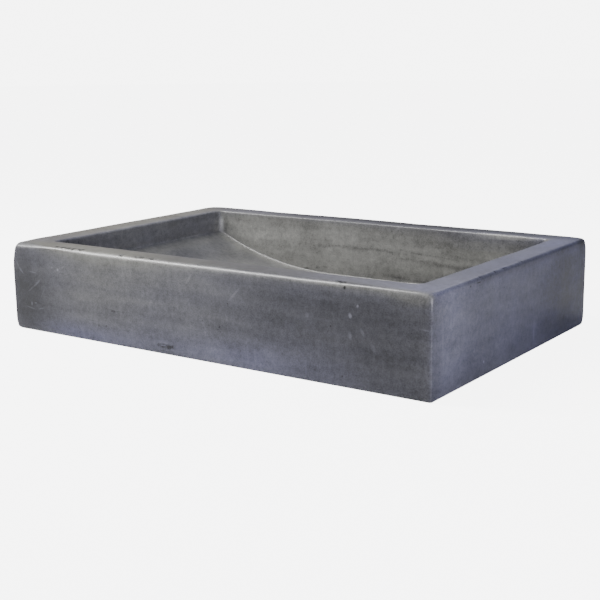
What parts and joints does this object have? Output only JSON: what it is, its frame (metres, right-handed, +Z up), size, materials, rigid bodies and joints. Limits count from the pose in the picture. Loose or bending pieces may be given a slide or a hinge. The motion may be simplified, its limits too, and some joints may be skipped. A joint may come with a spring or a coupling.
{
  "type": "countertop basin",
  "caption": "Rectangular concrete countertop basin with a flat rim, a trough floor that rises in an arc to each end wall, and a push-to-open waste.",
  "frame": {"origin": "on the waste's axis, in the plane of the underside", "axes": "+X along the long side to the right, +Y to the back, +Z up"},
  "size_m": [0.6, 0.4, 0.165],
  "materials": {
    "concrete": "sealed cast concrete, mottled dark grey, satin",
    "foam_seal": "closed-cell foam",
    "plated_brass": "polished chrome plate",
    "black_rubber": "moulded, matte",
    "washer_plastic": "natural plastic",
    "bare_brass": "turned, unplated",
    "barrel_plastic": "moulded",
    "bush_plastic": "moulded",
    "spring_steel": "drawn stainless wire",
    "rotor_plastic": "moulded acetal",
    "stem_steel": "turned stainless steel"
  },
  "bodies": {
    "basin": {"basin_shell": "concrete", "flange_seal": "foam_seal", "waste_body": "plated_brass", "lower_gasket": "black_rubber", "friction_washer": "washer_plastic", "back_nut": "bare_brass", "cartridge_barrel": "barrel_plastic", "barrel_bush": "bush_plastic", "return_spring": "spring_steel"},
    "plug": {"plunger": "stem_steel", "seal_retainer": "plated_brass", "plug_seal": "black_rubber", "plug_lock_nut": "bare_brass", "plug_cap": "plated_brass"},
    "rotor": {"latch_rotor": "rotor_plastic"}
  },
  "joints": [
    {"name": "plug_press", "type": "slide", "parent": "basin", "child": "plug", "axis": [0, 0, 1], "range_m": [-0.01, 0], "stiffness_N_per_m": 600, "springref_m": 0.012, "deforming": ["return_spring"]},
    {"name": "latch_turn", "type": "hinge", "parent": "plug", "child": "rotor", "pos_m": [0, 0, 0.006], "axis": [0, 0, 1], "range_deg": [0, 22.5]}
  ],
  "couplings": [
    {"joint": "latch_turn", "follows": "plug_press", "rad_per_m": -39.2}
  ]
}
